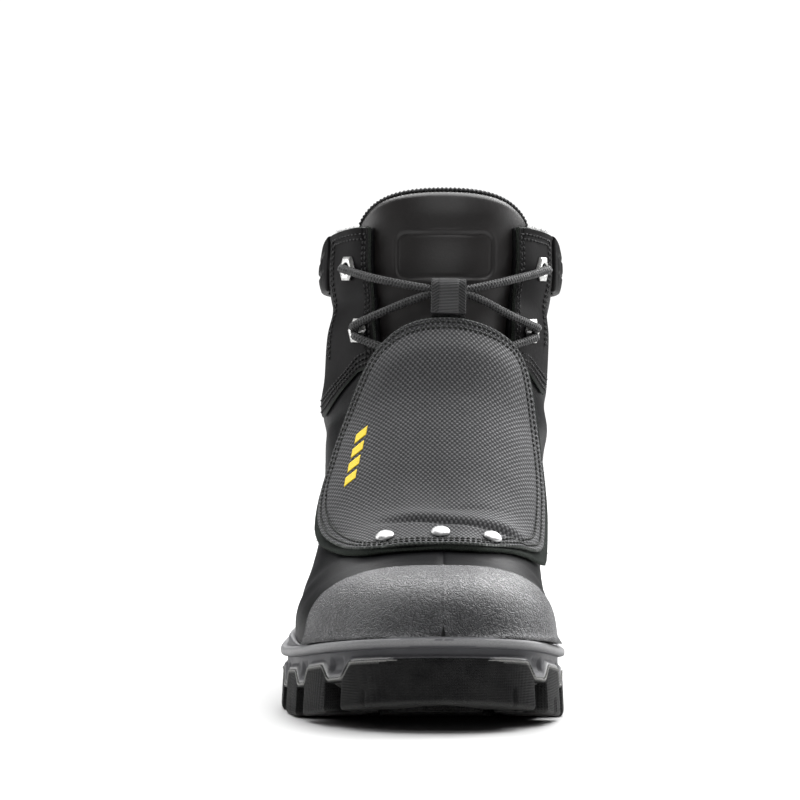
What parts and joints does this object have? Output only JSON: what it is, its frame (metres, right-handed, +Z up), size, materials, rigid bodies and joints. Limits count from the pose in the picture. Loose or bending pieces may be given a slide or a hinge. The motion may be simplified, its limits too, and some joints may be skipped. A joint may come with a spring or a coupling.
{
  "type": "metatarsal guard boot",
  "caption": "Black ankle work boot for the right foot with a moulded toe cap, a padded metatarsal flap fixed over the laces, and a thick lugged sole.",
  "frame": {"origin": "under the middle of the boot's box, on the floor", "axes": "+Z up, toe towards -Y and heel towards +Y, inner side of the foot towards +X"},
  "size_m": [0.119, 0.306, 0.217],
  "materials": {
    "outsole_rubber": "matt",
    "midsole_rubber": "matt",
    "cap_rubber": "pebbled",
    "upper_leather": "smooth",
    "tongue_leather": "smooth",
    "flap_fabric": "coated weave",
    "flap_leather": "rough",
    "webbing": "woven",
    "lining": "knitted",
    "rivet_metal": "satin",
    "eyelet_metal": "polished"
  },
  "bodies": {
    "root": {"outsole": "outsole_rubber", "midsole": "midsole_rubber", "upper": "upper_leather", "insole": "lining", "tongue": "tongue_leather", "toe_cap": "cap_rubber", "heel_counter": "upper_leather", "collar_pad": "upper_leather", "eyestay_lateral": "upper_leather", "eyestay_medial": "upper_leather", "guard_backing": "flap_leather", "guard_cover": "flap_fabric", "pull_tab": "webbing", "lace_cross": "webbing", "lace_bar": "webbing", "rivet_lateral": "rivet_metal", "rivet_middle": "rivet_metal", "rivet_medial": "rivet_metal", "eyelet_lateral_top": "eyelet_metal", "eyelet_lateral_low": "eyelet_metal", "eyelet_medial_top": "eyelet_metal", "eyelet_medial_low": "eyelet_metal"}
  },
  "joints": []
}
